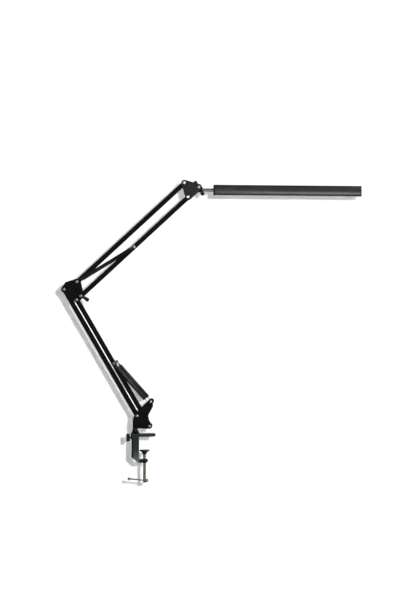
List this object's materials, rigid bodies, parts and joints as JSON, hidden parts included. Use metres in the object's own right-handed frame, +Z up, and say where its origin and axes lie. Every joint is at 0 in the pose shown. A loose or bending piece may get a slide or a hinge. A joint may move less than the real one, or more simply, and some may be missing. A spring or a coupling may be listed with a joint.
{
  "type": "swing-arm desk lamp",
  "caption": "Clamp-on desk lamp with a sprung two-part parallelogram arm, lockable elbow, tilting knuckle and a long LED bar head.",
  "frame": {"origin": "on the underside of the clamp's upper jaw, in the arm's plane, beside the screw axis", "axes": "+Z up, +X from the clamp's spine towards its open side, arm swings in the XZ plane"},
  "size_m": [0.7824, 0.064, 0.7906],
  "materials": {
    "black_paint": "satin",
    "black_plastic": "matte",
    "sleeve_black": "satin",
    "bright_steel": "polished",
    "spring_steel": "satin",
    "zinc_steel": "satin",
    "chrome": "polished",
    "grey_aluminium": "anodised",
    "diffuser": "matte",
    "circuit_board": "satin",
    "led": "satin"
  },
  "bodies": {
    "clamp": {"clamp_body": "black_paint"},
    "pad": {"pressure_pad": "zinc_steel"},
    "screw": {"clamp_screw": "zinc_steel"},
    "tommy": {"tommy_bar": "zinc_steel", "tommy_knobs": "zinc_steel"},
    "set_screw": {"set_screw": "black_plastic"},
    "base": {"post": "black_paint", "base_plate_front": "black_paint", "base_plate_rear": "black_paint", "base_bolts": "bright_steel", "base_nuts": "bright_steel", "base_spacers": "black_plastic", "base_spring_pin": "bright_steel"},
    "lower_link": {"lower_bar_rear": "black_paint"},
    "lower_arm": {"lower_bar_front": "black_paint", "lower_spring_bolt": "bright_steel", "lower_spring_bushes": "bright_steel", "lower_spring_nut": "bright_steel", "lower_spring_lug": "bright_steel"},
    "lower_spring_front": {"lower_spring_front": "spring_steel"},
    "lower_sleeve_front": {"lower_sleeve_front": "sleeve_black"},
    "lower_hook_front": {"lower_hook_front": "spring_steel"},
    "lower_spring_rear": {"lower_spring_rear": "spring_steel"},
    "lower_sleeve_rear": {"lower_sleeve_rear": "sleeve_black"},
    "lower_hook_rear": {"lower_hook_rear": "spring_steel"},
    "elbow": {"elbow_plate_front": "black_paint", "elbow_plate_rear": "black_paint", "elbow_bolts": "bright_steel", "elbow_nuts": "bright_steel", "elbow_spacers": "black_plastic", "elbow_clamp_bolt": "bright_steel"},
    "elbow_wing_nut": {"elbow_wing_nut": "black_plastic"},
    "upper_link": {"upper_bar_upper": "black_paint"},
    "upper_arm": {"upper_bar_lower": "black_paint", "upper_springs": "spring_steel", "upper_spring_bolt": "bright_steel", "upper_spring_bushes": "bright_steel", "upper_spring_nut": "bright_steel"},
    "upper_sleeves": {"upper_sleeves": "sleeve_black"},
    "upper_spring_hooks": {"upper_spring_hooks": "spring_steel"},
    "head_bracket": {"head_plate_front": "black_paint", "head_plate_rear": "black_paint", "head_bolts": "bright_steel", "head_nuts": "bright_steel", "head_spacers": "black_plastic", "tilt_bolt": "bright_steel", "tilt_washers": "black_plastic"},
    "head_wing_nut": {"head_wing_nut": "black_plastic"},
    "knuckle": {"tilt_knuckle": "black_paint", "stem": "chrome"},
    "lamp_bar": {"bar_housing": "grey_aluminium", "inner_end_cap": "black_plastic", "outer_end_sleeve": "grey_aluminium", "outer_end_cap": "black_plastic", "diffuser": "diffuser", "led_board": "circuit_board", "led_chips": "led"}
  },
  "joints": [
    {"name": "pad_lift", "type": "slide", "parent": "clamp", "child": "pad", "axis": [0, 0, 1], "range_m": [-0.0125, 0.0312]},
    {"name": "screw_turn", "type": "hinge", "parent": "pad", "child": "screw", "pos_m": [0, 0.00467, 0], "axis": [0, 0, 1], "range_deg": [-3500, 8900]},
    {"name": "tommy_slide", "type": "slide", "parent": "screw", "child": "tommy", "axis": [0.766, -0.6428, 0], "range_m": [0, 0.0466]},
    {"name": "set_screw_turn", "type": "hinge", "parent": "clamp", "child": "set_screw", "pos_m": [-0.0319, -0.00153, -0.0023], "axis": [-0.9816, -0.1908, 0], "continuous": true},
    {"name": "base_swivel", "type": "hinge", "parent": "clamp", "child": "base", "pos_m": [-0.02405, 0, 0], "axis": [0, 0, 1], "continuous": true},
    {"name": "lower_arm_tilt", "type": "hinge", "parent": "base", "child": "lower_arm", "pos_m": [0.01375, 0, 0.0282], "axis": [0, -1, 0], "range_deg": [-24, 3]},
    {"name": "lower_link_tilt", "type": "hinge", "parent": "base", "child": "lower_link", "pos_m": [-0.01905, 0, 0.0548], "axis": [0, -1, 0], "range_deg": [-24, 3]},
    {"name": "front_spring_swing", "type": "hinge", "parent": "lower_arm", "child": "lower_spring_front", "pos_m": [-0.08025, 0, 0.19101], "axis": [0, -1, 0], "range_deg": [-10, 1.5]},
    {"name": "front_sleeve_slide", "type": "slide", "parent": "lower_spring_front", "child": "lower_sleeve_front", "axis": [0.6624, 0, -0.7492], "range_m": [-0.0055, 0.0007]},
    {"name": "front_hook_swing", "type": "hinge", "parent": "base", "child": "lower_hook_front", "pos_m": [0.01065, 0, 0.0882], "axis": [0, -1, 0], "range_deg": [-34, 4.5]},
    {"name": "rear_spring_swing", "type": "hinge", "parent": "lower_arm", "child": "lower_spring_rear", "pos_m": [-0.07315, 0, 0.19511], "axis": [0, -1, 0], "range_deg": [-10, 1.5]},
    {"name": "rear_sleeve_slide", "type": "slide", "parent": "lower_spring_rear", "child": "lower_sleeve_rear", "axis": [0.6624, 0, -0.7492], "range_m": [-0.0072, 0.001]},
    {"name": "rear_hook_swing", "type": "hinge", "parent": "base", "child": "lower_hook_rear", "pos_m": [0.01775, 0, 0.0923], "axis": [0, -1, 0], "range_deg": [-34, 4.5]},
    {"name": "elbow_level", "type": "hinge", "parent": "lower_arm", "child": "elbow", "pos_m": [-0.17625, 0, 0.35729], "axis": [0, -1, 0], "range_deg": [-3, 24]},
    {"name": "elbow_wing_turn", "type": "hinge", "parent": "elbow", "child": "elbow_wing_nut", "pos_m": [-0.1654, 0, 0.36704], "axis": [0, 1, 0], "continuous": true},
    {"name": "upper_arm_tilt", "type": "hinge", "parent": "elbow", "child": "upper_arm", "pos_m": [-0.1654, 0, 0.36704], "axis": [0, -1, 0], "range_deg": [-45, 18], "deforming": ["upper_spring_hooks"]},
    {"name": "upper_link_tilt", "type": "hinge", "parent": "elbow", "child": "upper_link", "pos_m": [-0.17515, 0, 0.40379], "axis": [0, -1, 0], "range_deg": [-45, 18]},
    {"name": "upper_sleeve_slide", "type": "slide", "parent": "upper_arm", "child": "upper_sleeves", "axis": [-0.8524, 0, -0.5229], "range_m": [-0.0046, 0.0114]},
    {"name": "upper_hook_swing", "type": "hinge", "parent": "elbow", "child": "upper_spring_hooks", "pos_m": [-0.17515, 0, 0.40379], "axis": [0, -1, 0], "range_deg": [-45, 18]},
    {"name": "head_level", "type": "hinge", "parent": "upper_arm", "child": "head_bracket", "pos_m": [0.11387, 0, 0.62474], "axis": [0, -1, 0], "range_deg": [-18, 45]},
    {"name": "head_wing_turn", "type": "hinge", "parent": "head_bracket", "child": "head_wing_nut", "pos_m": [0.14202, 0, 0.65039], "axis": [0, 1, 0], "continuous": true},
    {"name": "head_tilt", "type": "hinge", "parent": "head_bracket", "child": "knuckle", "pos_m": [0.14202, 0, 0.65039], "axis": [0, -1, 0], "range_deg": [-90, 90]},
    {"name": "bar_roll", "type": "hinge", "parent": "knuckle", "child": "lamp_bar", "pos_m": [0.14196, 0, 0.64359], "axis": [1, 0, -0.0087], "range_deg": [-120, 120]}
  ],
  "couplings": [
    {"joint": "pad_lift", "follows": "screw_turn", "m_per_rad": 0.00019894},
    {"joint": "lower_link_tilt", "follows": "lower_arm_tilt", "ratio": 1},
    {"joint": "elbow_level", "follows": "lower_arm_tilt", "ratio": -1},
    {"joint": "front_spring_swing", "follows": "lower_arm_tilt", "ratio": 0.404},
    {"joint": "front_sleeve_slide", "follows": "lower_arm_tilt", "m_per_rad": 0.01294},
    {"joint": "front_hook_swing", "follows": "lower_arm_tilt", "ratio": 1.404},
    {"joint": "rear_spring_swing", "follows": "lower_arm_tilt", "ratio": 0.41},
    {"joint": "rear_sleeve_slide", "follows": "lower_arm_tilt", "m_per_rad": 0.01699},
    {"joint": "rear_hook_swing", "follows": "lower_arm_tilt", "ratio": 1.41},
    {"joint": "upper_link_tilt", "follows": "upper_arm_tilt", "ratio": 1},
    {"joint": "head_level", "follows": "upper_arm_tilt", "ratio": -1},
    {"joint": "upper_sleeve_slide", "follows": "upper_arm_tilt", "m_per_rad": -0.014324},
    {"joint": "upper_hook_swing", "follows": "upper_arm_tilt", "ratio": 1}
  ]
}
